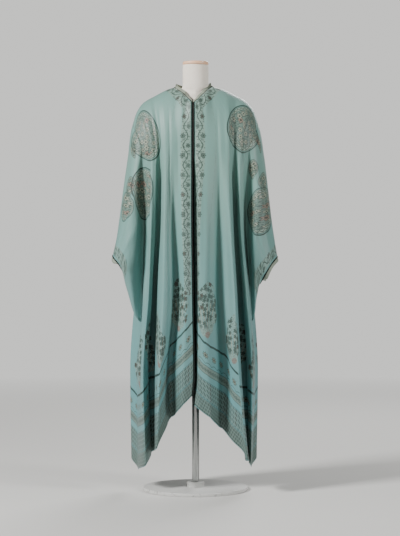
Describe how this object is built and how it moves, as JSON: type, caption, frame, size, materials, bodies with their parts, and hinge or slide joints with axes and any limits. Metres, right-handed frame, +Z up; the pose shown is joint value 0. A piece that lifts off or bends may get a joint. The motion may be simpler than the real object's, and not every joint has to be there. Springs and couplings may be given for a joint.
{
  "type": "kaftan on a dress form",
  "caption": "Open-fronted printed silk kaftan with wide tapering sleeves and corded edges, worn on a limbless dress form on a pole and round base.",
  "frame": {"origin": "middle of the round base's flat underside, on the floor", "axes": "+Z up along the pole, the open front faces -Y, the wearer's left sleeve is at +X"},
  "size_m": [0.6063, 0.38, 1.557],
  "materials": {
    "silk": "satin silk, printed",
    "band": "satin silk, plain",
    "cord": "twisted silk cord",
    "cover": "plain woven cotton cover",
    "wood": "satin lacquer",
    "pole": "satin",
    "base": "powder coat"
  },
  "bodies": {
    "root": {"front_left": "silk", "front_right": "silk", "back": "silk", "sleeve_left": "silk", "sleeve_right": "silk", "cord_front_left": "cord", "cord_front_right": "cord", "cord_neck_back": "cord", "neck_band_left": "band", "neck_band_right": "band", "neck_band_back": "band", "cuff_cord_left": "cord", "cuff_cord_right": "cord", "cuff_band_left": "band", "cuff_band_right": "band", "form_torso": "cover", "form_cap": "wood", "form_pole": "pole", "form_base": "base"}
  },
  "joints": []
}
